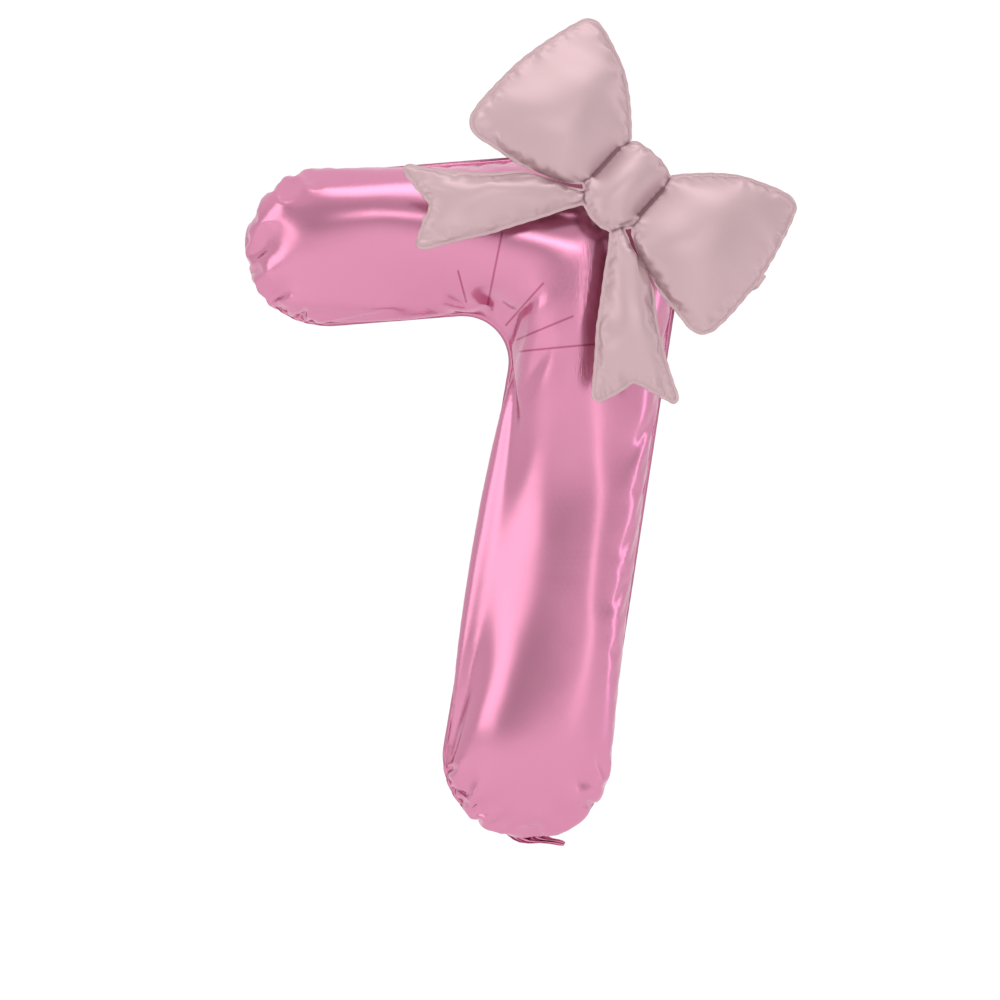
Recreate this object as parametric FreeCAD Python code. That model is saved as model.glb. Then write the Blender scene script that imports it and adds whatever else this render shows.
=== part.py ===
import FreeCAD, Part
import os
from math import atan2, cos, degrees, radians, sin, sqrt

# A foil number balloon, a "7" with a foil bow on its upper right corner, in millimetres.
# +Z is up, +X is to the right, and the front faces -Y. The origin is the lowest point of the
# number's weld, where the filler neck leaves it and a ribbon is tied.

V = FreeCAD.Vector
DEEP = V(0, 1, 0)

# Films
FILM = 0.9                  # thickness that stands for the thin foil
FLANGE = 5.0                # width of the flat weld outside each gas chamber
HINGE_GAP = 0.6             # from a fold line to the weld on each side of it

# Number: sizes to the outer edge of the weld
CORNER = V(105, 0, 762)     # where the centre lines of the bar and the stem cross
BAR_RISE = 4.6              # degrees that the bar rises to the right
STEM_LEAN = 9.2             # degrees that the stem leans from the vertical
TUBE = 97.5                 # half the bar's height
STEM_GROWTH = 6.5           # what the stem's half width gains on its way down
BAR_LEFT = -346.5           # X of the bar's left end
END_ROUND = 92.0            # length of each rounded end
END_POWER = 2.25            # 2 is a round end, more is squarer
INNER_RADIUS = 57.0         # of the concave corner under the bar
CORNER_SWELL = 11.0         # extra half depth at the corner
SHOULDER_DEPTH = 48.0       # half depth below the bow's knot, where the corner slopes to its weld
SHOULDER_SLOPE = 0.56
BOTTOM_X = 2.0              # X of the middle of the stem's lower end

# Bow: its own axes are u, along the bow, and v, across it towards the upper right
KNOT = V(127.7, -102, 813.8)
BOW_LEAN = 12.0             # degrees that the bow leans back onto the number's shoulder
BOW_TURN = 42.1             # degrees clockwise
KNOT_HALF = 37.3            # from the middle to each weld line
KNOT_DEPTH = 27.0
LOOP_TILT = 6.8             # degrees that each loop leans towards +v
LOOP_DEPTH = 41.0
LEFT_TAIL_THROAT = (-28.5, -51.2)
LEFT_TAIL_ANGLE = 225.5     # in the bow's axes
LOWER_TAIL_THROAT = (28.7, -53.7)
LOWER_TAIL_ANGLE = -41.6
TAIL_DEPTH = 18.0
TAIL_NOTCH = 194.0          # from the throat to the bottom of the V

# Filler necks and valves
NECK_FILM = 0.5
NECK_HINGE_Z = -1.2
VALVE_WIDTH = 24.0
VALVE_LENGTH = 125.0
BOW_NECK_WIDTH = 18.0
BOW_NECK_LENGTH = 34.0
BOW_NECK_TURN = 95.0        # degrees that the neck is folded back from the loop's plane
BOW_VALVE_LENGTH = 80.0
DOT_RADIUS = 7.0

NODES = {}


def unit(angle):
    """A direction in the XZ plane, counted from +X towards +Z."""
    return V(cos(radians(angle)), 0, sin(radians(angle)))


def ring(section):
    """A closed elliptical wire across a gas chamber."""
    centre, across, half_width, half_depth = section
    curve = Part.Circle(V(0, 0, 0), V(0, 0, 1), 1).toBSpline()
    for index, pole in enumerate(curve.getPoles(), 1):
        curve.setPole(index, centre + across * half_width * pole.x + DEEP * half_depth * pole.y)
    return Part.Wire(curve.toShape())


def chamber(stretches):
    """A closed solid through stretches of sections, each smooth, joined end to end."""
    solids = [Part.makeLoft([ring(section) for section in stretch], True, False)
              for stretch in stretches]
    return solids[0].fuse(solids[1:]).removeSplitter() if solids[1:] else solids[0]


def slab(seam_y, low, high):
    """Everything between two depths, measured from the seam plane."""
    reach = 2000.0
    return Part.makeBox(2 * reach, high - low, 2 * reach, V(-reach, seam_y + low, -reach))


def film_pair(name, outline, notch=None, trims=(), finish=None):
    """Make the front and back films of a chamber, each with its half of the flat weld.

    outline(inset, thin) gives sections whose edge lies inset inside the outer edge of the weld
    and whose depth is less by thin. notch(inset) is a solid that is cut out of the end. trims are
    solids that the films stay out of, and finish moves each film to its place.
    """
    weld = chamber(outline(0.0, 0.0))
    outer = chamber(outline(FLANGE, 0.0))
    inner = chamber(outline(FLANGE + FILM, FILM))
    if notch:
        weld = weld.cut(notch(0.0))
        outer = outer.cut(notch(FLANGE))
        inner = inner.cut(notch(FLANGE + FILM))
    seam_y = outline(0.0, 0.0)[0][0][0].y
    for side, low, high in (("front", -1.0, 0.0), ("back", 0.0, 1.0)):
        half = outer.common(slab(seam_y, 500 * low, 500 * high))
        rim = weld.common(slab(seam_y, FILM * low, FILM * high))
        film = half.fuse(rim).cut(inner)
        for trim in trims:
            film = film.cut(trim)
        film = film.removeSplitter()
        NODES[name + "_" + side + "_film"] = finish(film) if finish else film
    return finish(outer) if finish else outer


# Number ------------------------------------------------------------------------------------

BAR_AXIS = unit(180 + BAR_RISE)
STEM_AXIS = unit(270 - STEM_LEAN)
END_STEPS = (0.01, 0.05, 0.13, 0.27, 0.48, 0.74, 1.0)


def end_share(step):
    """The share of the full width at a share of a rounded end's length."""
    return (1.0 - (1.0 - step) ** END_POWER) ** (1.0 / END_POWER)


def bar_sections(half, inset):
    """The bar's left end, whose sections stand upright."""
    sections = []
    for step in END_STEPS:
        x = BAR_LEFT + inset + step * END_ROUND
        centre = CORNER + BAR_AXIS * ((x - CORNER.x) / BAR_AXIS.x)
        size = half * end_share(step)
        sections.append((centre, V(0, 0, 1), size, size))
    return sections


def corner_sections(half, inset, steps=10):
    """A fan about the centre of the concave corner, out to a ball about the outer corner."""
    spread = (90 - BAR_RISE - STEM_LEAN) / 2
    to_pivot = (TUBE + INNER_RADIUS) / sin(radians(spread))
    pivot = CORNER + unit(225 + (BAR_RISE - STEM_LEAN) / 2) * to_pivot
    first = 90 + BAR_RISE
    fan = first + STEM_LEAN
    straight = TUBE + INNER_RADIUS + half
    ball_starts = degrees(atan2(to_pivot * cos(radians(spread)), straight))
    near = INNER_RADIUS + inset
    sections = []
    for step in range(steps + 1):
        turn = fan * step / steps
        from_end = min(turn, fan - turn)
        far = straight / cos(radians(from_end))
        if from_end > ball_starts:
            off = radians(fan / 2 - from_end)
            far = to_pivot * cos(off) + sqrt(half ** 2 - (to_pivot * sin(off)) ** 2)
        direction = unit(first - turn)
        swell = CORNER_SWELL * sin(radians(180 * step / steps)) ** 2
        centre = pivot + direction * ((near + far) / 2)
        sections.append((centre, direction, (far - near) / 2, half + swell))
    return sections


def stem_turn(half):
    """The foot of the stem, where its sections turn level."""
    length = CORNER.z / -STEM_AXIS.z
    sections = []
    for along in (500.0, 560.0, 620.0):
        size = half + STEM_GROWTH * along / length
        sections.append((CORNER + STEM_AXIS * along, unit(-STEM_LEAN), size, size))
    return sections


def stem_end(half, inset):
    """The stem's lower end, whose sections lie level."""
    sections = []
    for step in reversed(END_STEPS):
        size = (half + STEM_GROWTH) * end_share(step)
        sections.append((V(BOTTOM_X, 0, inset + step * END_ROUND), V(1, 0, 0), size, size))
    return sections


def number_outline(inset, thin):
    """The number's tube is as deep as it is high, so the inset thins it as well."""
    half = TUBE - inset
    bar = bar_sections(half, inset)
    corner = corner_sections(half, inset)
    middle = len(corner) // 2
    turn = stem_turn(half)
    end = stem_end(half, inset)
    return [bar, (bar[-1], corner[0]), corner[:middle + 1], corner[middle:],
            (corner[-1], turn[0]), turn + end[:1], end]


def shoulder(inset):
    """What the outer corner lacks of a full tube, front and back."""
    thin = max(inset - FLANGE, 0.0)
    sides = []
    for side in (-1, 1):
        normal = unit(90 - BOW_TURN) * SHOULDER_SLOPE + DEEP * side
        normal.normalize()
        place = V(KNOT.x, side * SHOULDER_DEPTH, KNOT.z) - normal * thin
        box = Part.makeBox(1000, 1000, 400, V(-500, -500, 0))
        box.Placement = FreeCAD.Placement(place, FreeCAD.Rotation(V(0, 0, 1), normal))
        sides.append(box)
    return sides[0].fuse(sides[1])


# Bow ---------------------------------------------------------------------------------------

BOW_U = unit(-BOW_TURN)
BOW_V = unit(90 - BOW_TURN)


def on_bow(u, v):
    return KNOT + BOW_U * u + BOW_V * v


def leant(shape):
    """A bow solid, made upright, leant back about the bow's long axis."""
    shape = shape.copy()
    shape.rotate(KNOT, BOW_U, -BOW_LEAN)
    return shape


def block(root, angle, low, high, half_width):
    """A block across a fold line, from low to high along the lobe that leaves it."""
    box = Part.makeBox(high - low, 200, 2 * half_width, V(low, -100, -half_width))
    box.rotate(V(0, 0, 0), V(0, 1, 0), -(angle - BOW_TURN))
    box.translate(root)
    return box


# Half sizes across each lobe: distance from its fold line, half width, half depth
LOOP_SHAPE = ((0, 43, 0.0), (20, 57, 0.34), (45, 75, 0.7), (75, 91, 0.95), (105, 101, 1.0),
              (132, 105, 0.86), (150, 99, 0.55), (161, 72, 0.3), (168, 36, 0.1))
TAIL_SHAPE = ((0, 10, 0.1), (25, 17, 0.5), (50, 24, 0.75), (80, 31, 0.95), (110, 36, 1.0),
              (140, 40, 1.0), (170, 45, 0.86), (195, 49, 0.62), (212, 52, 0.4), (224, 54, 0.2))
KNOT_SHAPE = ((-1.0, 43, 0, 0.0), (-0.72, 50, -4, 0.62), (-0.36, 55, -7, 0.92), (0, 56, -8, 1.0),
              (0.36, 55, -7, 0.92), (0.72, 50, -4, 0.62), (1.0, 43, 0, 0.0))
EDGE_DEPTH = 2.2            # half depth at a weld line
THROAT_GAP = 2.4            # from each tail's throat to the knot


def lobe(root, angle, shape, depth):
    """The outline function of a loop or a tail that leaves its fold line at root."""
    along = unit(angle - BOW_TURN)
    across = unit(angle - BOW_TURN + 90)
    length = shape[-1][0]

    def outline(inset, thin):
        sections = []
        for distance, half_width, share in shape:
            place = HINGE_GAP + inset * 0.6 + distance * (length - 1.6 * inset - HINGE_GAP) / length
            deep = EDGE_DEPTH + (depth - EDGE_DEPTH) * share
            centre = root + along * place
            sections.append((centre, across, half_width - inset, deep - thin))
        return [sections]
    return outline


def knot_outline(inset, thin):
    sections = []
    reach = KNOT_HALF - HINGE_GAP - 0.6 * inset
    for share_u, half_width, v, share in KNOT_SHAPE:
        deep = EDGE_DEPTH + (KNOT_DEPTH - EDGE_DEPTH) * share
        sections.append((on_bow(share_u * reach, v), BOW_V, half_width - inset, deep - thin))
    return [sections]


def tail_notch(root, angle):
    """The V between a tail's two tips, as a wedge through its depth."""
    along = unit(angle - BOW_TURN)
    across = unit(angle - BOW_TURN + 90)
    half_mouth = 56.0
    mouth = TAIL_SHAPE[-1][0] + 6.0

    def notch(inset):
        tip = root + along * (TAIL_NOTCH - 1.9 * inset) - DEEP * 300
        left = root + along * mouth + across * (half_mouth + inset * 0.8) - DEEP * 300
        right = root + along * mouth - across * (half_mouth + inset * 0.8) - DEEP * 300
        face = Part.Face(Part.makePolygon([tip, left, right, tip]))
        return face.extrude(DEEP * 600)
    return notch


# Assembly ----------------------------------------------------------------------------------

number_gas = film_pair("number", number_outline, shoulder)
RIGHT_ROOT = on_bow(KNOT_HALF, 0)
RIGHT_ANGLE = LOOP_TILT
LOBES = (("upper_loop", on_bow(-KNOT_HALF, 0), 180 - LOOP_TILT, LOOP_SHAPE, LOOP_DEPTH),
         ("right_loop", RIGHT_ROOT, RIGHT_ANGLE, LOOP_SHAPE, LOOP_DEPTH),
         ("left_tail", on_bow(*LEFT_TAIL_THROAT), LEFT_TAIL_ANGLE, TAIL_SHAPE, TAIL_DEPTH),
         ("lower_tail", on_bow(*LOWER_TAIL_THROAT), LOWER_TAIL_ANGLE, TAIL_SHAPE, TAIL_DEPTH))
knot_trims = []
for name, root, angle, shape, depth in LOBES:
    tail = shape is TAIL_SHAPE
    behind = block(root, angle, -60, HINGE_GAP, 150)
    film_pair(name, lobe(root, angle, shape, depth), tail_notch(root, angle) if tail else None,
              [behind], leant)
    knot_trims.append(block(root, angle, -THROAT_GAP if tail else -HINGE_GAP, 60, 18 if tail else 150))
knot_gas = film_pair("knot", knot_outline, None, knot_trims, leant)


def strip(points, low, high):
    """A flat film cut to an outline in the XZ plane, between two depths."""
    face = Part.Face(Part.makePolygon([V(x, low, z) for x, z in points + points[:1]]))
    return face.extrude(V(0, high - low, 0))


def twin_films(name, make):
    """Two films that face each other across a narrow gap."""
    gap = 0.1
    NODES[name + "_front_film"] = make(-gap - NECK_FILM, -gap)
    NODES[name + "_back_film"] = make(gap, gap + NECK_FILM)


# The neck hangs from the weld and is folded to the right, where it narrows to a twisted tab
NECK_TOP = NECK_HINGE_Z - 0.4
NECK_OUTLINE = [(-24, NECK_TOP), (24, NECK_TOP), (34, -5.5), (48, -9.5), (50.5, -14),
                (47, -17.5), (34, -14), (20, -11.5), (6, -13), (-8, -14), (-18, -10)]
twin_films("neck", lambda low, high: strip(NECK_OUTLINE, low, high))

VALVE_OUTLINE = [(-VALVE_WIDTH / 2, FLANGE + 2), (VALVE_WIDTH / 2, FLANGE + 2),
                 (VALVE_WIDTH / 2, FLANGE + VALVE_LENGTH), (-VALVE_WIDTH / 2, FLANGE + VALVE_LENGTH)]
twin_films("valve", lambda low, high: strip(VALVE_OUTLINE, low, high))


def on_right_loop(along, across, low, high, length):
    """A flat film in the right loop's own axes, centred across it."""
    film = Part.makeBox(length, high - low, BOW_NECK_WIDTH, V(along, low, across - BOW_NECK_WIDTH / 2))
    film.rotate(V(0, 0, 0), V(0, 1, 0), -(RIGHT_ANGLE - BOW_TURN))
    film.translate(RIGHT_ROOT)
    return film


LOOP_END = LOOP_SHAPE[-1][0]
FOLD = RIGHT_ROOT + unit(RIGHT_ANGLE - BOW_TURN) * (LOOP_END + 2.1) + DEEP * 1.2


def folded_neck(low, high):
    film = on_right_loop(LOOP_END + 2.5, 0, 1.2 + low, 1.2 + high, BOW_NECK_LENGTH)
    film.rotate(FOLD, unit(RIGHT_ANGLE - BOW_TURN + 90), BOW_NECK_TURN)
    return leant(film)


twin_films("bow_neck", folded_neck)
twin_films("bow_valve", lambda low, high: leant(on_right_loop(
    LOOP_END - FLANGE - 6 - BOW_VALVE_LENGTH, 0, low, high, BOW_VALVE_LENGTH)))

# Adhesive dots between the back of the knot and the front of the number
dots = []
for u, v in ((-16, -38), (0, -46), (17, -40)):
    start = on_bow(u, v)
    dot = Part.makeCylinder(DOT_RADIUS, 60, start, DEEP).cut(knot_gas).cut(number_gas)
    dots.extend(dot.Solids)
    print("dot", u, v, [round(solid.BoundBox.YLength, 1) for solid in dot.Solids])
NODES["glue_dots"] = Part.makeCompound(dots)

os.makedirs("parts", exist_ok=True)
for name, shape in NODES.items():
    shape.exportStep(os.path.join("parts", name + ".step"))
    box = shape.BoundBox
    print(name, shape.isValid(), len(shape.Solids), round(shape.Volume),
          [round(value, 1) for value in (box.XMin, box.XMax, box.YMin, box.YMax, box.ZMin, box.ZMax)])
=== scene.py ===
import math

import bpy
import numpy as np
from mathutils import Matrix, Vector, geometry


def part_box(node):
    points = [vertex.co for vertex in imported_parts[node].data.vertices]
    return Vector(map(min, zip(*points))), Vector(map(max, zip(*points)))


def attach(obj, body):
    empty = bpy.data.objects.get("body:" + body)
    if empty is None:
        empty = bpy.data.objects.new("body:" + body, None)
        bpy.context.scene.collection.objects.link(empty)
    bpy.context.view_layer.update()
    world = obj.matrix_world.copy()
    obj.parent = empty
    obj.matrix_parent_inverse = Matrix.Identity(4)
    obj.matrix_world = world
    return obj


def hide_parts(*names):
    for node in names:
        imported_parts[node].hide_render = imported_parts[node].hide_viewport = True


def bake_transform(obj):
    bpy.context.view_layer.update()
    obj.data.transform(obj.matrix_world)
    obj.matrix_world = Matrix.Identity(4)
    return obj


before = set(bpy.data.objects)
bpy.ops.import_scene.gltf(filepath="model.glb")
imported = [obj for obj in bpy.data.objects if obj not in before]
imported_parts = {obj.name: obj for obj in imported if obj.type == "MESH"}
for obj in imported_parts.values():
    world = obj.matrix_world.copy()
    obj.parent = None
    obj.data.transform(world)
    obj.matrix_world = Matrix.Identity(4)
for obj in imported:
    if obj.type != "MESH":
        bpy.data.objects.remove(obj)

for leftover in ("Cube", "Light", "Camera"):
    if leftover in bpy.data.objects:
        bpy.data.objects.remove(bpy.data.objects[leftover])
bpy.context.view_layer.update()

# Foil number balloon with a foil bow. Each balloon is cut as a flat pattern, and its two films are
# welded along the outline and blown up by a cloth simulation. +Z is up, the front faces -Y, metres.

MM = 0.001
FLANGE = 5.0 * MM            # width of the flat weld outside the gas
LEAST_FLANGE = 0.1 * FLANGE  # where the outline turns back on itself and leaves no room
RIPPLE_STEP = 2.7 * MM       # length of weld for each radian of its ripple
SCALLOP_STEP = 5.4 * MM      # and of the scallops along its free edge
CORNER_STEPS = 60            # points round each corner of the number, and round each of its ends
CAP_STEPS = 120
COARSE = 1.0
FRAMES = 60                 # of inflation
TAUT_ROUNDS = 32            # of relaxing afterwards


def unit(angle):
    return np.array([math.cos(math.radians(angle)), math.sin(math.radians(angle))])


# Flat patterns ------------------------------------------------------------------------------

def arc(centre, radius, first, last, steps):
    return [centre + unit(first + (last - first) * i / steps) * radius for i in range(steps + 1)]


def cap(base, across, along, half, length, power, steps):
    """A rounded end, from one side of a tube to the other."""
    points = []
    for i in range(steps + 1):
        angle = math.pi * i / steps
        c, s = math.cos(angle), math.sin(angle)
        wide = math.copysign(abs(c) ** (2 / power), c) * half
        points.append(base + across * wide + along * abs(s) ** (2 / power) * length)
    return points


def seven(half, inner, turn, bar, stem, last, bar_cap, stem_cap):
    """The outline of a 7 about the centre of its concave corner, from the outer corner clockwise.

    bar and stem are the tubes' lengths beyond the corner, last is the direction from the centre
    square to the stem, and each cap is (end half width, length, power, tilt in degrees).
    """
    first = last + turn
    corner = unit((first + last) / 2) * (half + inner) / math.cos(math.radians(turn / 2))
    stem_across, stem_along = unit(last), unit(last - 90)
    bar_across, bar_along = unit(first), unit(first + 90)
    points = arc(corner, half, first, last, CORNER_STEPS)
    width, length, power, tilt = stem_cap
    end = stem_across * (half + inner) + stem_along * (stem - length)
    points += cap(end, unit(last + tilt), unit(last + tilt - 90), width, length, power, CAP_STEPS)
    points += arc(np.zeros(2), inner, last, first, CORNER_STEPS)
    width, length, power, tilt = bar_cap
    end = bar_across * (half + inner) + bar_along * (bar - length)
    points += cap(end, -unit(first + tilt), unit(first + tilt + 90), width, length, power, CAP_STEPS)
    return np.array(points + points[:1])


def paired(target, flat, spacing):
    """The same evenly spaced points on the flat pattern's edge and on the inflated outline, both
    counter-clockwise."""
    if np.sum(flat[:-1, 0] * flat[1:, 1] - flat[1:, 0] * flat[:-1, 1]) < 0:
        flat, target = flat[::-1], target[::-1]
    steps = np.linalg.norm(np.diff(flat, axis=0), axis=1)
    place = np.r_[0, np.cumsum(steps)]
    count = int(round(place[-1] / spacing))
    at = np.linspace(0, place[-1], count, endpoint=False)
    columns = [np.interp(at, place, side[:, axis]) for side in (flat, target) for axis in (0, 1)]
    return np.column_stack(columns[:2]), np.column_stack(columns[2:])


def to_edge(points, edge):
    """Which points lie inside a closed outline, and how far each is from it."""
    inside = np.zeros(len(points), bool)
    distance = np.full(len(points), 10.0)
    for a, b in zip(edge, np.roll(edge, -1, axis=0)):
        crosses = (b[1] > points[:, 1]) != (a[1] > points[:, 1])
        rise = b[1] - a[1] or 1e-12
        inside ^= crosses & (points[:, 0] < (b[0] - a[0]) * (points[:, 1] - a[1]) / rise + a[0])
        share = np.clip((points - a) @ (b - a) / max((b - a) @ (b - a), 1e-12), 0, 1)
        distance = np.minimum(distance, np.linalg.norm(points - a - share[:, None] * (b - a), axis=1))
    return inside, distance


def along_line(corners, spacing):
    """Evenly spaced points along straight runs between corners."""
    points = [np.array(corners[0], float)]
    for a, b in zip(corners, corners[1:]):
        count = max(int(round(np.linalg.norm(np.array(b) - a) / spacing)), 1)
        points += [np.array(a) + (np.array(b) - a) * i / count for i in range(1, count + 1)]
    return points


class Pattern:
    """A triangulated flat pattern: the edge points first, then those on lines, then the rest.

    folds are lines from edge to edge that part it into pieces, and creases are lines inside it.
    """

    def __init__(self, target, flat, spacing, folds=(), creases=()):
        self.edge, self.target = paired(target, flat, spacing)
        count = len(self.edge)
        points = list(self.edge)
        links = [(i, (i + 1) % count) for i in range(count)]
        chains = []
        for corners in folds:
            line = along_line(corners, spacing)
            ends = [int(np.argmin(np.linalg.norm(self.edge - p, axis=1))) for p in (line[0], line[-1])]
            chains.append([ends[0]] + list(range(len(points), len(points) + len(line) - 2)) + [ends[1]])
            points += line[1:-1]
        parting = len(chains)
        for corners in creases:
            line = along_line(corners, spacing)
            chains.append(list(range(len(points), len(points) + len(line))))
            points += line
        for chain in chains:
            links += list(zip(chain, chain[1:]))
        fixed = np.array(points)
        low, high = self.edge.min(0), self.edge.max(0)
        rows = np.arange(low[1], high[1], spacing * math.sqrt(0.75))
        grid = np.array([(x + spacing * 0.5 * (row % 2), y) for row, y in enumerate(rows)
                         for x in np.arange(low[0], high[0], spacing)])
        inside, gap = to_edge(grid, self.edge)
        grid = grid[inside & (gap > 0.6 * spacing)]
        for point in fixed[count:]:
            grid = grid[np.linalg.norm(grid - point, axis=1) > 0.6 * spacing]
        result = geometry.delaunay_2d_cdt([Vector(p) for p in np.vstack([fixed, grid])], links,
                                          [list(range(count))], 1, 1e-7)
        self.points = np.array([tuple(p) for p in result[0]])
        self.faces = np.array([tuple(f) for f in result[2]])
        a, b, c = (self.points[self.faces[:, i]] for i in range(3))
        turned = np.cross(b - a, c - a) < 0
        self.faces[turned] = self.faces[turned][:, ::-1]
        pairs = np.vstack([self.faces[:, [0, 1]], self.faces[:, [1, 2]], self.faces[:, [2, 0]]])
        self.links = np.unique(np.sort(pairs, axis=1), axis=0)
        self.count = count
        self.part = self.parts([fixed[chain] for chain in chains[:parting]])
        # Painted shade: some along the weld at the edge, and full on the fold and crease lines.
        self.groove_shade = np.zeros(len(self.points))
        self.groove_shade[:count] = 0.45
        for chain in chains:
            for point in fixed[chain]:
                self.groove_shade[np.linalg.norm(self.points - point, axis=1).argmin()] = 1.0
        self.weld = np.zeros(0, int)
        self.weld_target = np.zeros((0, 2))

    def parts(self, lines):
        """For each face, the lowest face that it can be reached from without crossing a fold line."""
        on_fold = np.full(len(self.points), -1)
        for index, line in enumerate(lines):
            for point in line:
                on_fold[np.linalg.norm(self.points - point, axis=1).argmin()] = index
        first, second = [], []
        seen = {}
        for face, corners in enumerate(self.faces):
            for a, b in zip(corners, np.roll(corners, -1)):
                key = (min(a, b), max(a, b))
                if key in seen and not (on_fold[a] == on_fold[b] and on_fold[a] >= 0):
                    first.append(seen[key])
                    second.append(face)
                seen[key] = face
        part = np.arange(len(self.faces))
        while True:
            lowest = np.minimum(part[first], part[second])
            new = part.copy()
            np.minimum.at(new, first, lowest)
            np.minimum.at(new, second, lowest)
            if (new == part).all():
                return part
            part = new


# Inflation ----------------------------------------------------------------------------------

DOME = 0.1                   # rise of the flat films for each unit in from the weld, at the start
DOME_REACH = 0.05
DRAWN_BY = 0.6               # share of the frames in which the outline is drawn in
FILM_SETTINGS = {"quality": 6, "mass": 0.003, "air_damping": 5.0, "bending_model": "ANGULAR",
                 "tension_stiffness": 300.0, "compression_stiffness": 20.0, "shear_stiffness": 50.0,
                 "bending_stiffness": 0.05, "tension_damping": 5.0, "compression_damping": 5.0,
                 "shear_damping": 5.0, "use_pressure": True, "uniform_pressure_force": 30.0}
EASE = 0.6                   # how far each round of relaxing moves a point to its neighbours' mean


def inflate(name, pattern):
    """Blow up two films that are welded along the pattern's edge, which is drawn in from the flat
    outline to the inflated one meanwhile. Returns the front and back films' points."""
    size = len(pattern.points)
    sealed = np.zeros(size, bool)
    sealed[:pattern.count] = True
    sealed[pattern.weld] = True
    back_of = np.where(sealed, np.arange(size), size + np.cumsum(~sealed) - 1)
    _, gap = to_edge(pattern.points, pattern.edge)
    dome = -DOME * np.minimum(gap, DOME_REACH)
    start = np.column_stack([pattern.points[:, 0], dome, pattern.points[:, 1]])
    start[sealed, 1] = 0
    mirrored = start[~sealed] * [1, -1, 1]
    faces = np.vstack([pattern.faces, back_of[pattern.faces][:, ::-1]])
    start = np.vstack([start, mirrored])
    mesh = bpy.data.meshes.new(name)
    mesh.from_pydata(start.tolist(), [], faces.tolist())
    cloth_object = bpy.data.objects.new(name, mesh)
    bpy.context.scene.collection.objects.link(cloth_object)
    held = np.flatnonzero(sealed)
    cloth_object.vertex_groups.new(name="weld").add(held.tolist(), 1.0, "REPLACE")
    drawn = start.copy()
    drawn[:pattern.count, [0, 2]] = pattern.target
    drawn[pattern.weld, 0] = pattern.weld_target[:, 0]
    drawn[pattern.weld, 2] = pattern.weld_target[:, 1]
    cloth_object.shape_key_add(name="flat")
    key = cloth_object.shape_key_add(name="drawn")
    key.data.foreach_set("co", drawn.ravel())
    for at, value in ((1, 0.0), (int(FRAMES * DRAWN_BY), 1.0)):
        key.value = value
        key.keyframe_insert("value", frame=at)
    modifier = cloth_object.modifiers.new("film", "CLOTH")
    film = modifier.settings
    film.vertex_group_mass = "weld"
    for setting, value in FILM_SETTINGS.items():
        setattr(film, setting, value)
    film.effector_weights.gravity = 0.0
    modifier.collision_settings.use_collision = False
    modifier.point_cache.frame_start = 1
    modifier.point_cache.frame_end = FRAMES
    for at in range(1, FRAMES + 1):
        bpy.context.scene.frame_set(at)
    shaped = cloth_object.evaluated_get(bpy.context.evaluated_depsgraph_get()).data
    points = np.zeros(len(shaped.vertices) * 3)
    shaped.vertices.foreach_get("co", points)
    points = points.reshape(-1, 3)
    bpy.data.objects.remove(cloth_object)
    return points[:size], points[back_of]


def relax(pattern, film, near, far, creased=()):
    """Draw the film taut away from its weld, from none at near to full at far. creased is (x, z,
    reach) of places that are drawn less."""
    a, b = pattern.links.T
    size = len(film)
    degree = (np.bincount(a, minlength=size) + np.bincount(b, minlength=size))[:, None]
    plan = film[:, [0, 2]]
    _, gap = to_edge(plan, pattern.target)
    share = np.clip((gap - near) / (far - near), 0, 1)
    share = share ** 2 * (3 - 2 * share)
    for x, z, reach in creased:
        away = np.linalg.norm(plan - [x, z], axis=1) / reach
        share *= np.clip(away - 0.5, 0.06, 1)
    share[:pattern.count] = 0
    share[pattern.weld] = 0
    film = film.copy()
    for _ in range(TAUT_ROUNDS):
        mean = np.column_stack([np.bincount(a, column[b], size) + np.bincount(b, column[a], size)
                                for column in film.T]) / degree
        film += (mean - film) * EASE * share[:, None]
    return film


def with_flange(pattern, film, side):
    """Add the flat weld outside the gas to one film. Returns its points and faces, the part that
    each face is in, and how much painted shade each point gets."""
    edge = pattern.target
    count = pattern.count
    tangent = np.roll(edge, -1, axis=0) - np.roll(edge, 1, axis=0)
    outward = np.column_stack([tangent[:, 1], -tangent[:, 0]])
    outward /= np.linalg.norm(outward, axis=1)[:, None]
    inside, clear = to_edge(edge + outward * FLANGE, edge)
    width = np.where(inside, LEAST_FLANGE, np.minimum(clear, FLANGE))
    for _ in range(3):
        width = np.minimum(width, (np.roll(width, 1) + width + np.roll(width, -1)) / 3)
    drawn = np.linalg.norm(np.roll(edge, -1, axis=0) - edge, axis=1)
    cut = np.linalg.norm(np.roll(pattern.edge, -1, axis=0) - pattern.edge, axis=1)
    gathered = 1 - drawn / cut
    place = np.cumsum(drawn)
    wave = np.clip(gathered, 0, 0.4) * 4.0 * MM * np.sin(place / RIPPLE_STEP)
    scallop = (0.5 + np.clip(gathered, 0, 0.3) * 5.0) * MM
    width -= scallop * np.abs(np.sin(place / SCALLOP_STEP))
    width = np.maximum(width, LEAST_FLANGE)
    rows = [film]
    for share in (0.5, 1.0):
        row = edge + outward * (width * share)[:, None]
        rows.append(np.column_stack([row[:, 0], wave * share ** 2 + side * 0.15 * MM, row[:, 1]]))
    ring = np.arange(count)
    after = np.roll(ring, -1)
    size = len(film)
    starts = (ring, ring + size, ring + size + count)
    ends = (after, after + size, after + size + count)
    quads = [np.column_stack([starts[k], starts[k + 1], ends[k + 1], ends[k]]) for k in (0, 1)]
    owner = np.zeros(count, int)
    for face, corners in enumerate(pattern.faces):
        for a, b in zip(corners, np.roll(corners, -1)):
            if a < count and b == (a + 1) % count:
                owner[a] = pattern.part[face]
    faces = [list(face) for face in pattern.faces] + [list(quad) for pair in quads for quad in pair]
    # The flange gets a little painted shade, more at its outer edge.
    groove_shade = np.r_[pattern.groove_shade, np.full(count, 0.1), np.full(count, 0.5)]
    return np.vstack(rows), faces, np.r_[pattern.part, owner, owner], groove_shade


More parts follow.
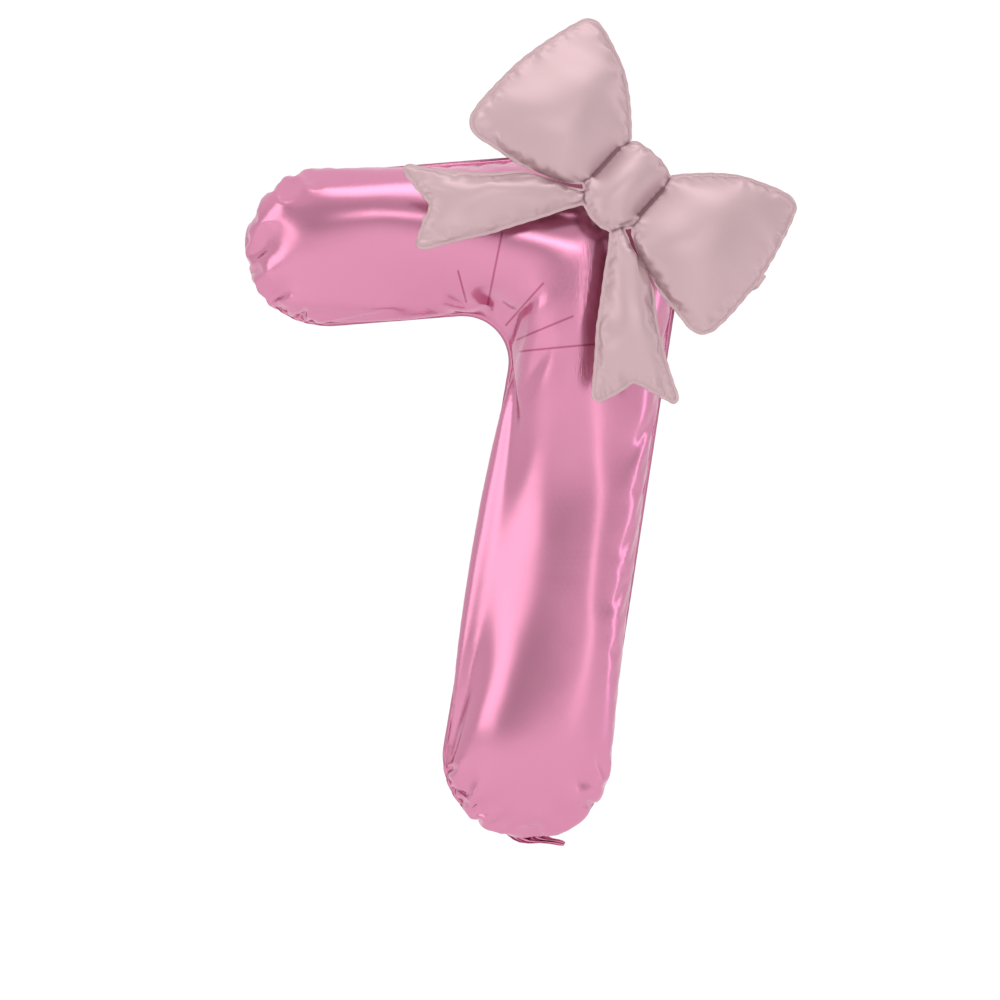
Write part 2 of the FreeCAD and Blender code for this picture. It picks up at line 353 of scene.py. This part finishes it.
def piece(name, points, faces, side, material, nodes, groove_shade=None):
    """A shown mesh made of these faces alone, in place of CAD nodes. side is -1 for a front film,
    and the last argument says how much painted shade each point gets in grooves and at welds, from 0 to
    1."""
    used = sorted({corner for face in faces for corner in face})
    index = {corner: new for new, corner in enumerate(used)}
    order = 1 if side < 0 else -1
    mesh = bpy.data.meshes.new(name)
    corners = [[index[corner] for corner in face][::order] for face in faces]
    mesh.from_pydata(points[used].tolist(), [], corners)
    mesh.shade_smooth()
    mesh.materials.append(material)
    if groove_shade is not None:
        mesh.attributes.new("groove_shade", "FLOAT", "POINT").data.foreach_set("value", groove_shade[used])
    made = bpy.data.objects.new(name, mesh)
    bpy.context.scene.collection.objects.link(made)
    smooth = made.modifiers.new("smooth", "SUBSURF")
    smooth.levels = smooth.render_levels = 1
    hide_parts(*nodes)
    return made


# Number balloon -----------------------------------------------------------------------------

STEM_LEAN = 9.2
BAR_RISE = 4.6
HALF = 92.5 * MM             # half the tube's height, weld left out
INNER = 62.0 * MM
NUMBER_SPACING = 9.0 * MM * COARSE           # between the points of its films
NUMBER_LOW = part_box("number_front_film")[0]
CORNER = np.array([105.0, 762.0]) * MM
TURN = 90 + BAR_RISE + STEM_LEAN
FLAT_TURN = 83.0             # an inflated bend turns more than its flat pattern
BAR_TAUT = 3.0 * MM          # how much shorter than the tube each flat leg is cut
STEM_TAUT = 10.0 * MM
SLIDE = 12.0 * MM            # how far the gather of the outer corner spreads along its edges
FLAT_HALF = HALF * math.pi / 2
GATHER = FLAT_HALF - HALF
FOOT_GROWTH = 0.006          # what the stem's half width gains at its lower end
BAR_END_POWER, FOOT_POWER = 2.2, 2.15        # 2 is a round end, more is squarer


def number_pattern():
    """The flat 7 and its inflated outline. The gather slides a little away from the outer corner."""
    bend = (HALF + INNER) * math.tan(math.radians(TURN / 2))
    bar = (CORNER[0] - NUMBER_LOW.x - FLANGE) / math.cos(math.radians(BAR_RISE)) - bend
    stem = (CORNER[1] - NUMBER_LOW.z - FLANGE) / math.cos(math.radians(STEM_LEAN)) - bend
    middle = CORNER - unit((90 + BAR_RISE - STEM_LEAN) / 2) * (HALF + INNER) / math.cos(
        math.radians(TURN / 2))
    target = seven(HALF, INNER, TURN, bar, stem, -STEM_LEAN,
                   (HALF, HALF, BAR_END_POWER, -BAR_RISE),
                   (HALF + FOOT_GROWTH, HALF, FOOT_POWER, STEM_LEAN)) + middle
    inner = INNER * TURN / FLAT_TURN
    round_end = FLAT_HALF, FLAT_HALF, 2.0, 0
    flat = seven(FLAT_HALF, inner, FLAT_TURN, bar + GATHER - BAR_TAUT, stem + GATHER - STEM_TAUT,
                 -STEM_LEAN, round_end, round_end)
    slide = np.r_[np.linspace(-1, 1, CORNER_STEPS + 1), np.linspace(1, 0, CAP_STEPS + 1),
                  np.zeros(CORNER_STEPS + 1), np.linspace(0, -1, CAP_STEPS + 1), -1] * SLIDE
    place = np.r_[0, np.cumsum(np.linalg.norm(np.diff(target, axis=0), axis=1))]
    at = (place + slide) % place[-1]
    target = np.column_stack([np.interp(at, place, side) for side in target.T])
    return Pattern(target, flat, NUMBER_SPACING)


# Bow balloon --------------------------------------------------------------------------------

BOW_TURN = 42.1              # degrees clockwise from level
KNOT = np.array([127.7, -102.0, 813.8]) * MM
BOW_LEAN = 12.0              # degrees that the bow leans back onto the number's shoulder
KNOT_HALF = 37.3             # from the middle of the knot to each weld line
LOOP_TILT = 6.8              # degrees that each loop leans away from the tails
LEFT_THROAT, LEFT_ANGLE = (-28.5, -51.2), 225.5
LOWER_THROAT, LOWER_ANGLE = (28.7, -53.7), -41.6

# Points along a lobe's side, in mm: distance from its fold line, and half width. The flat pattern
# is longer and wider by the same shares all along, and its tails are turned clear of the loops:
# each _FLAT is (longer, wider, turn in degrees).
LOOP_UPPER = ((0, 38), (8, 44), (22, 55.5), (44, 72), (72, 88.5), (105, 99), (128, 104), (141, 104),
              (149, 99), (153, 86), (157, 64), (161, 33), (163, 0))
LOOP_LOWER = ((0, 38), (8, 49), (18, 57.5), (34, 67), (53, 75.5), (75, 82.5), (108, 91), (130, 97.5),
              (143, 96), (150, 90), (154, 80), (158, 60), (161, 31), (163, 0))
TAIL_NEAR = ((0, 7), (20, 14), (34, 20.5), (55, 30), (71, 33.5), (92, 33.5), (115, 33), (145, 36),
             (178, 41), (200, 45.5), (217, 49.5), (221, 48.5), (218, 42), (204, 22), (190, 0))
TAIL_FAR = ((0, 7), (11, 7.5), (30, 11.5), (46, 16.5), (88, 27), (107, 32), (120, 35.5), (158, 42),
            (185, 47.5), (203, 51), (209, 49), (207, 40), (199, 20), (190, 0))
LOOP_FLAT = (1.11, 1.22, 0)
LEFT_TAIL_FLAT = (1.07, 1.46, 14)
LOWER_TAIL_FLAT = (1.07, 1.46, -14)
THROAT_OUT, THROAT_DOWN = 9, 10              # how far each tail's throat moves on the flat pattern

# Points along the knot's upper and lower edges: across and up, inflated and then flat
KNOT_TOP = ((0, 45, 0, 58), (22, 43, 31, 54))
KNOT_LOW = ((-8, -61, -8, -73), (12, -62, 14, -74))
FLAT_KNOT_HALF = 49.0
WELD_HALF = 25.0             # half the length of each weld between the knot and a loop
WELD_WIDTH = 4.0
WELD_DRAW = 0.92             # share of its flat length that each of these welds keeps
BOW_SPACING = 6.0 * MM * COARSE


def lobe_side(shape, flat, root, angle, flat_root, side, forward):
    """Points along one side of a loop or tail, inflated and flat, in the bow's own axes."""
    longer, wider, turn = flat
    along, across = unit(angle), unit(angle + 90) * side
    flat_along, flat_across = unit(angle + turn) * longer, unit(angle + turn + 90) * side * wider
    points = [np.r_[np.array(root) + along * a + across * w,
                    np.array(flat_root) + flat_along * a + flat_across * w] for a, w in shape]
    return points if forward else points[::-1]


def smooth_path(rows, steps=10):
    """A curve through rows of numbers, closed, rounded except where the rows repeat."""
    rows = np.array(rows)
    count = len(rows)
    path = []
    for i in range(count):
        p0, p1, p2, p3 = (rows[(i + k) % count] for k in (-1, 0, 1, 2))
        for step in range(steps):
            t = step / steps
            path.append(0.5 * (2 * p1 + (p2 - p0) * t + (2 * p0 - 5 * p1 + 4 * p2 - p3) * t ** 2
                               + (3 * p1 - p0 - 3 * p2 + p3) * t ** 3))
    return np.array(path + path[:1])


def bow_outline():
    """Counter-clockwise from the right end of the knot's upper edge. Returns the inflated and the
    flat outline, the fold lines that part the bow, and the creases beside its two welds."""
    rows = [np.array((x, y, fx, fy)) for x, y, fx, fy in KNOT_TOP[::-1]]
    rows += [np.array((-x, y, -fx, fy)) for x, y, fx, fy in KNOT_TOP[1:]]
    left = (-KNOT_HALF, 0), 180 - LOOP_TILT, (-FLAT_KNOT_HALF, 0)
    right = (KNOT_HALF, 0), LOOP_TILT, (FLAT_KNOT_HALF, 0)
    flat_left = np.array(LEFT_THROAT) + (-THROAT_OUT, -THROAT_DOWN)
    flat_lower = np.array(LOWER_THROAT) + (THROAT_OUT, -THROAT_DOWN)
    left_tail = LEFT_THROAT, LEFT_ANGLE, flat_left
    lower_tail = LOWER_THROAT, LOWER_ANGLE, flat_lower
    rows += lobe_side(LOOP_UPPER, LOOP_FLAT, *left, -1, True)
    rows += lobe_side(LOOP_LOWER, LOOP_FLAT, *left, 1, False)[1:]
    rows += lobe_side(TAIL_NEAR, LEFT_TAIL_FLAT, *left_tail, -1, True)
    rows += lobe_side(TAIL_FAR, LEFT_TAIL_FLAT, *left_tail, 1, False)[1:]
    rows += [np.array(row) for row in KNOT_LOW]
    rows += lobe_side(TAIL_FAR, LOWER_TAIL_FLAT, *lower_tail, -1, True)
    rows += lobe_side(TAIL_NEAR, LOWER_TAIL_FLAT, *lower_tail, 1, False)[1:]
    rows += lobe_side(LOOP_LOWER, LOOP_FLAT, *right, -1, True)
    rows += lobe_side(LOOP_UPPER, LOOP_FLAT, *right, 1, False)[1:]
    folds, creases = [], []
    for side, angle in ((-1, 180 - LOOP_TILT), (1, LOOP_TILT)):
        root = np.array([side * FLAT_KNOT_HALF, 0])
        outer = side * (FLAT_KNOT_HALF + WELD_WIDTH / 2)
        inner = side * (FLAT_KNOT_HALF - WELD_WIDTH / 2)
        reach = unit(angle - 90 * side) * LOOP_UPPER[0][1] * LOOP_FLAT[1]
        top, low = root - reach, root + reach
        folds.append((top, (outer, WELD_HALF), (outer, -WELD_HALF), low))
        creases.append(((inner, WELD_HALF), (inner, -WELD_HALF)))
    for throat, angle, flat in ((flat_left, LEFT_ANGLE, LEFT_TAIL_FLAT),
                                (flat_lower, LOWER_ANGLE, LOWER_TAIL_FLAT)):
        reach = unit(angle + flat[2] + 90) * TAIL_NEAR[0][1] * flat[1]
        folds.append((throat - reach, throat + reach))
    path = smooth_path(rows)
    upright = np.array([1, 1 / math.cos(math.radians(BOW_LEAN))]) * MM
    folds = [[np.array(point) * upright for point in line] for line in folds]
    creases = [[np.array(point) * upright for point in line] for line in creases]
    return path[:, :2] * upright, path[:, 2:] * upright, folds, creases


def bow_pattern():
    """The flat bow, with the welds beside its knot marked to be held."""
    target, flat, folds, creases = bow_outline()
    pattern = Pattern(target, flat, BOW_SPACING, folds, creases)
    points = pattern.points
    off = np.abs(np.abs(points[:, 0]) - FLAT_KNOT_HALF * MM)
    on_line = np.abs(off - WELD_WIDTH / 2 * MM) < 0.01 * MM
    on_weld = on_line & (np.abs(points[:, 1]) < 1.05 * WELD_HALF * MM)
    pattern.weld = np.flatnonzero(on_weld)
    inward = np.sign(points[on_weld, 0]) * (FLAT_KNOT_HALF - KNOT_HALF) * MM
    pattern.weld_target = np.column_stack([points[on_weld, 0] - inward, points[on_weld, 1] * WELD_DRAW])
    return pattern


# Materials ----------------------------------------------------------------------------------

class Shader:
    """A material's node tree, built one node at a time."""

    def __init__(self, name, color, metallic, roughness):
        self.material = bpy.data.materials.new(name)
        self.material.use_nodes = True
        self.tree = self.material.node_tree
        self.surface = self.tree.nodes["Principled BSDF"]
        self.set("Base Color", (*color, 1))
        self.set("Metallic", metallic)
        self.set("Roughness", roughness)

    def set(self, socket, value):
        self.surface.inputs[socket].default_value = value

    def node(self, kind, inputs=(), **settings):
        made = self.tree.nodes.new(kind)
        for key, value in settings.items():
            setattr(made, key, value)
        for socket, value in dict(inputs).items():
            if isinstance(value, bpy.types.NodeSocket):
                self.tree.links.new(value, made.inputs[socket])
            else:
                made.inputs[socket].default_value = value
        return made

    def near(self, centre, reach):
        """1 at a place on the object, falling to 0 at a distance from it."""
        place = self.node("ShaderNodeTexCoord").outputs["Object"]
        away = self.node("ShaderNodeVectorMath", {0: place, 1: centre}, operation="DISTANCE")
        share = self.node("ShaderNodeMapRange", {"Value": away.outputs["Value"], "From Min": 0.0,
                                                 "From Max": reach, "To Min": 1.0, "To Max": 0.0},
                          interpolation_type="SMOOTHSTEP")
        return share.outputs[0]

    def noise(self, scale, stretch=(1, 1, 1), turn=(0, 0, 0), detail=2.0):
        place = self.node("ShaderNodeTexCoord").outputs["Object"]
        place = self.node("ShaderNodeMapping", {0: place, "Rotation": turn, "Scale": stretch})
        return self.node("ShaderNodeTexNoise", {"Vector": place.outputs[0], "Scale": scale,
                                                "Detail": detail}).outputs[0]

    def math(self, operation, a, b):
        return self.node("ShaderNodeMath", {0: a, 1: b}, operation=operation).outputs[0]

    def groove_shade(self, depth, power):
        """Painted shade in the grooves and at the welds: how much of it each point gets."""
        mark = self.node("ShaderNodeAttribute", attribute_name="groove_shade").outputs["Fac"]
        return self.math("MULTIPLY", self.math("POWER", mark, power), depth)

    def crease(self, start, end, width):
        """1 on a straight line across the front or back, given by x and z, and 0 beside it."""
        start, end = np.array([start[0], 0, start[1]]) * MM, np.array([end[0], 0, end[1]]) * MM
        length = float(np.linalg.norm(end - start))
        place = self.node("ShaderNodeTexCoord").outputs["Object"]
        place = self.node("ShaderNodeVectorMath", {0: place, 1: (1, 0, 1)}, operation="MULTIPLY")
        away = self.node("ShaderNodeVectorMath", {0: place.outputs[0], 1: tuple(start)},
                         operation="SUBTRACT").outputs[0]
        along = (end - start) / length
        share = self.node("ShaderNodeVectorMath", {0: away, 1: tuple(along)},
                          operation="DOT_PRODUCT").outputs["Value"]
        share = self.math("MINIMUM", self.math("MAXIMUM", share, 0.0), length)
        foot = self.node("ShaderNodeVectorMath", {0: tuple(along), "Scale": share}, operation="SCALE")
        gap = self.node("ShaderNodeVectorMath", {0: away, 1: foot.outputs[0]}, operation="DISTANCE")
        mark = self.node("ShaderNodeMapRange", {"Value": gap.outputs["Value"], "From Min": 0.0,
                                                "From Max": width, "To Min": 1.0, "To Max": 0.0},
                         interpolation_type="SMOOTHSTEP")
        return mark.outputs[0]

    def tint(self, color, deep, share):
        """The base colour, going to a painted shade colour by share."""
        mixed = self.node("ShaderNodeMix", {"Factor": share}, data_type="RGBA")
        mixed.inputs[6].default_value = (*color, 1)
        mixed.inputs[7].default_value = (*deep, 1)
        self.tree.links.new(mixed.outputs[2], self.surface.inputs["Base Color"])

    def bump(self, height, strength, distance, under=None):
        made = self.node("ShaderNodeBump", {"Height": height, "Strength": strength,
                                            "Distance": distance})
        if under:
            self.tree.links.new(under, made.inputs["Normal"])
        return made.outputs[0]


# The foils' own colours, each with the colour of the painted shade in its grooves, at its welds and along
# its creases
PINK_COLOR, PINK_PAINTED_SHADE = (0.58, 0.228, 0.35), (0.32, 0.045, 0.12)
DUSTY_COLOR, DUSTY_PAINTED_SHADE = (0.49, 0.34, 0.36), (0.11, 0.035, 0.05)
# The creases that run out from the concave corner under the bar, each drawn as a bump and as a dark line
# of painted shade
CREASES = (((-85, 704), (-75, 667)), ((-30, 751), (-48, 663)), ((21, 688), (-25, 638)),
           ((58, 647), (-11, 619)), ((93, 613), (-8, 604)))
CREASE_WIDTH = 2.2 * MM
# Where the foil is crushed fine, beside the bow's lower tail: centre and reach
CRUSHED = (((0.07, -0.08, 0.69), 0.085), ((0.066, -0.09, 0.585), 0.05))


def number_foil():
    shader = Shader("number_foil", PINK_COLOR, 1.0, 0.24)
    # Painted shade in the grooves, at the welds and along the creases
    painted_shade = shader.groove_shade(0.75, 1.6)
    lines = None
    for start, end in CREASES:
        line = shader.crease(start, end, CREASE_WIDTH)
        lines = shader.math("MAXIMUM", lines, line) if lines else line
    painted_shade = shader.math("MAXIMUM", painted_shade, shader.math("MULTIPLY", lines, 0.8))
    shader.tint(PINK_COLOR, PINK_PAINTED_SHADE, painted_shade)
    fine = shader.noise(420.0, (1.0, 1.0, 0.16), (0, 0.6, 0), 1.0)
    crushed = shader.math("MAXIMUM", *(shader.near(centre, reach) for centre, reach in CRUSHED))
    normal = shader.bump(shader.math("MULTIPLY", fine, crushed), 0.18, 0.0015)
    normal = shader.bump(lines, -0.6, 0.003, normal)
    normal = shader.bump(shader.noise(9.0), 0.1, 0.01, normal)
    shader.tree.links.new(normal, shader.surface.inputs["Normal"])
    return shader.material


def bow_foil():
    shader = Shader("bow_foil", DUSTY_COLOR, 0.5, 0.42)
    # Painted shade in the grooves and at the welds
    shader.tint(DUSTY_COLOR, DUSTY_PAINTED_SHADE, shader.groove_shade(0.85, 2.2))
    normal = shader.bump(shader.noise(14.0), 0.1, 0.008)
    shader.tree.links.new(normal, shader.surface.inputs["Normal"])
    return shader.material


def clear_film():
    shader = Shader("valve_film", (0.9, 0.9, 0.92), 0.0, 0.35)
    shader.set("Alpha", 0.45)
    return shader.material


def adhesive():
    shader = Shader("adhesive", (0.93, 0.92, 0.88), 0.0, 0.4)
    shader.set("Transmission Weight", 0.5)
    return shader.material


# Pieces -------------------------------------------------------------------------------------

PINK = number_foil()
DUSTY = bow_foil()
SIDES = ((-1, "front"), (1, "back"))

NUMBER_TAUT = 12 * MM, 50 * MM               # how far in from the weld each film starts and ends
BOW_TAUT = 4 * MM, 28 * MM                   # being drawn taut
BELOW_CORNER = (-0.01, 0.62, 0.08)           # the crushed foil under the concave corner
SHOULDER = np.array([128.0, 790.0]) * MM     # where the corner is fuller than its pattern makes it
SHOULDER_SWELL, SHOULDER_REACH = 0.16, 75 * MM

BOW_U, BOW_V = unit(-BOW_TURN), unit(90 - BOW_TURN)
lean = math.radians(BOW_LEAN)
BOW_AXES = np.array([[BOW_U[0], 0, BOW_U[1]],
                     [BOW_V[0] * math.sin(lean), math.cos(lean), BOW_V[1] * math.sin(lean)],
                     [BOW_V[0] * math.cos(lean), math.sin(lean), BOW_V[1] * math.cos(lean)]])
BOW_AXES[1] = np.cross(BOW_AXES[2], BOW_AXES[0])

# Each part of the bow: its name, a place inside it on the flat pattern, and where it joins the knot
PARTS = (("knot", (0, 0), None), ("upper_loop", (-120, 10), (-KNOT_HALF, 0)),
         ("right_loop", (120, 10), (KNOT_HALF, 0)), ("left_tail", (-95, -165), LEFT_THROAT),
         ("lower_tail", (95, -155), LOWER_THROAT))


def on_bow(u, v, depth=0.0):
    """A place in the bow's own axes, in mm along and across it and towards the back."""
    return KNOT + np.array([u, depth, v]) * MM @ BOW_AXES


def cad_parts():
    """The valves and the adhesive dots stay as the CAD made them."""
    valves = "valve_front_film", "valve_back_film", "bow_valve_front_film", "bow_valve_back_film"
    for material, names in ((clear_film(), valves), (adhesive(), ("glue_dots",))):
        for name in names:
            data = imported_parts[name].data
            data.materials.clear()
            data.materials.append(material)


def number_balloon():
    pattern = number_pattern()
    for film, (side, word) in zip(inflate("number", pattern), SIDES):
        film = relax(pattern, film, *NUMBER_TAUT, [BELOW_CORNER])
        away = np.linalg.norm(film[:, [0, 2]] - SHOULDER, axis=1)
        film[:, 1] *= 1 + SHOULDER_SWELL * np.exp(-(away / SHOULDER_REACH) ** 2)
        points, faces, _, groove_shade = with_flange(pattern, film, side)
        made = piece("number_foil_" + word, points, faces, side, PINK, ["number_%s_film" % word],
                     groove_shade)
        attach(made, "number")


def bow_balloon():
    """The bow is blown up whole, then cut at its fold lines into its parts. The knot follows the number's
    body.
    """
    pattern = bow_pattern()
    centres = pattern.points[pattern.faces].mean(1)
    for film, (side, word) in zip(inflate("bow", pattern), SIDES):
        film = relax(pattern, film, *BOW_TAUT)
        points, faces, owner, groove_shade = with_flange(pattern, film, side)
        points = KNOT + points @ BOW_AXES
        for name, inside, root in PARTS:
            nearest = np.linalg.norm(centres - np.array(inside) * MM, axis=1).argmin()
            chosen = [face for face, part in zip(faces, owner) if part == pattern.part[nearest]]
            made = piece(name + "_foil_" + word, points, chosen, side, DUSTY,
                         ["%s_%s_film" % (name, word)], groove_shade)
            if root is None:
                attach(made, "number")
            else:
                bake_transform(made)


cad_parts()
number_balloon()
bow_balloon()

# Filler necks -------------------------------------------------------------------------------

TAB_THICK = 0.7 * MM
# Each row along a neck: its left and right edge, and how deep its pleats are
NECK_ROWS = (((-26, -1.6), (26, -1.6), 0.3), ((-22, -5), (26, -3.2), 1.6), ((-16, -9.5), (27, -4.5), 2.6),
             ((-8, -13), (29, -5.8), 2.8), ((4, -14.4), (32, -7.2), 2.2), ((18, -13.6), (36, -8.4), 1.6),
             ((31, -14.8), (41, -9.2), 1.2), ((42, -16.9), (46.5, -10.8), 0.9),
             ((47.5, -17), (49.8, -13), 0.4))
BOW_NECK_ROWS = (((163, -9), (163, 9), 0.2), ((167, -9), (167, 9), 0.4), ((170, -9), (170, 9), 0.6),
                 ((173, -8.8), (173, 8.8), 0.8), ((182, -8), (182, 8.2), 1.2),
                 ((192, -8.4), (192, 7.8), 1), ((202, -8), (203, 7), 0.6), ((204, -6), (205, 5), 0.3))
FOLD_ALONG = 170.1           # from the knot's weld to the bow neck's fold, in mm
FOLD_HALF = 3                # half the length of neck that the fold takes up
NECK_TURN = 95.0             # degrees that the fold turns
BLEND_START, BLEND_END = 168, 173


def tab(name, rows, columns, gather, place, material, nodes):
    """A flat film between two edges, each row (left, right, pleat depth), gathered into pleats."""
    rows = np.array([np.r_[left, right, pleat] for left, right, pleat in rows], float) * MM
    steps = np.linspace(0, len(rows) - 1, 4 * len(rows))
    rows = np.column_stack([np.interp(steps, np.arange(len(rows)), column) for column in rows.T])
    points = []
    for row in rows:
        for share in np.linspace(0, 1, columns):
            u, v = row[:2] + (row[2:4] - row[:2]) * share
            points.append(place(u, v, row[4] * math.sin(share * gather * math.pi)))
    faces = []
    for i in range(len(rows) - 1):
        for k in range(columns - 1):
            a = i * columns + k
            faces.append((a, a + columns, a + columns + 1, a + 1))
    made = piece(name, np.array(points), faces, -1, material, nodes)
    skin = made.modifiers.new("skin", "SOLIDIFY")
    skin.thickness = TAB_THICK
    skin.offset = 0
    return made


def on_neck(along, across, pleat):
    """Along the right loop to its end, then round a tight fold towards the back."""
    past = along / MM - FOLD_ALONG
    turn = math.radians(NECK_TURN) * min(max((past + FOLD_HALF) / (2 * FOLD_HALF), 0), 1)
    reach = FOLD_ALONG + min(past, -FOLD_HALF) + FOLD_HALF
    depth = 0.0
    if past > -FOLD_HALF:
        radius = 2 * FOLD_HALF / math.radians(NECK_TURN)
        reach = FOLD_ALONG - FOLD_HALF + radius * math.sin(turn)
        depth = radius * (1 - math.cos(turn))
    if past > FOLD_HALF:
        reach += (past - FOLD_HALF) * math.cos(turn)
        depth += (past - FOLD_HALF) * math.sin(turn)
    flat = np.array([KNOT_HALF, 0]) + unit(LOOP_TILT) * reach + unit(LOOP_TILT + 90) * across / MM
    return on_bow(flat[0], flat[1], depth + pleat / MM)


neck = tab("filler_neck_foil", NECK_ROWS, 15, 5, lambda x, z, y: (x, y, z), PINK,
           ["neck_front_film", "neck_back_film"])
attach(neck, "filler_neck")
bow_neck = tab("bow_neck_foil", BOW_NECK_ROWS, 9, 3, on_neck, DUSTY,
               ["bow_neck_front_film", "bow_neck_back_film"])
on_neck(BLEND_START * MM, 0, 0)
on_neck(BLEND_END * MM, 0, 0)
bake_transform(bow_neck)


# Studio -------------------------------------------------------------------------------------

scene = bpy.context.scene
scene.view_settings.view_transform = "Standard"
FLOOR_HALF, FLOOR_Z = 40, -0.3
AIM = Vector((0.0, 0.0, 0.55))               # where the softboxes point


def studio_world():
    """White all round, a little dimmer towards the camera's side."""
    world = bpy.data.worlds.new("studio")
    scene.world = world
    world.use_nodes = True
    sky = world.node_tree
    direction = sky.nodes.new("ShaderNodeTexCoord")
    axes = sky.nodes.new("ShaderNodeSeparateXYZ")
    level = sky.nodes.new("ShaderNodeMapRange")
    level.interpolation_type = "SMOOTHSTEP"
    for socket, value in (("From Min", -1.0), ("From Max", 0.1), ("To Min", 0.6), ("To Max", 1.02)):
        level.inputs[socket].default_value = value
    sky.links.new(direction.outputs["Generated"], axes.inputs[0])
    sky.links.new(axes.outputs["Y"], level.inputs["Value"])
    sky.links.new(level.outputs[0], sky.nodes["Background"].inputs["Strength"])
    sky.nodes["Background"].inputs["Color"].default_value = (1, 1, 1, 1)


def studio_floor():
    corners = [(x * FLOOR_HALF, y * FLOOR_HALF, FLOOR_Z) for x, y in ((-1, -1), (1, -1), (1, 1), (-1, 1))]
    mesh = bpy.data.meshes.new("floor")
    mesh.from_pydata(corners, [], [(0, 1, 2, 3)])
    mesh.materials.append(Shader("floor", (0.98, 0.98, 0.98), 0.0, 0.9).material)
    floor = bpy.data.objects.new("floor", mesh)
    scene.collection.objects.link(floor)


def softbox(name, place, size, power, color=(1, 1, 1)):
    light = bpy.data.lights.new(name, "AREA")
    light.shape = "RECTANGLE"
    light.size, light.size_y = size
    light.energy = power
    light.color = color
    made = bpy.data.objects.new(name, light)
    scene.collection.objects.link(made)
    made.location = place
    made.rotation_euler = (AIM - Vector(place)).to_track_quat("-Z", "Y").to_euler()


studio_world()
studio_floor()
sun = bpy.data.objects.new("overhead", bpy.data.lights.new("overhead", "SUN"))
sun.data.energy = 0.4
sun.data.angle = math.radians(120)
scene.collection.objects.link(sun)
softbox("front_box", (0.35, -6.0, 2.3), (3.2, 0.7), 34)
softbox("left_box", (-2.6, -2.2, 1.5), (1.4, 2.6), 18)
softbox("top_box", (0.2, -1.4, 3.2), (2.6, 1.2), 20)
softbox("right_strip", (1.3, -3.2, 0.9), (0.25, 2.8), 5)
softbox("lilac_strip", (3.0, -0.3, 0.8), (0.5, 2.8), 8, (0.86, 0.78, 1.0))

camera = bpy.data.objects.new("camera", bpy.data.cameras.new("camera"))
scene.collection.objects.link(camera)
camera.location = (-0.0326, -10.0, 0.418)
camera.rotation_euler = (math.pi / 2, 0, 0)
camera.data.lens = 286.0
camera.data.clip_end = 200
scene.camera = camera
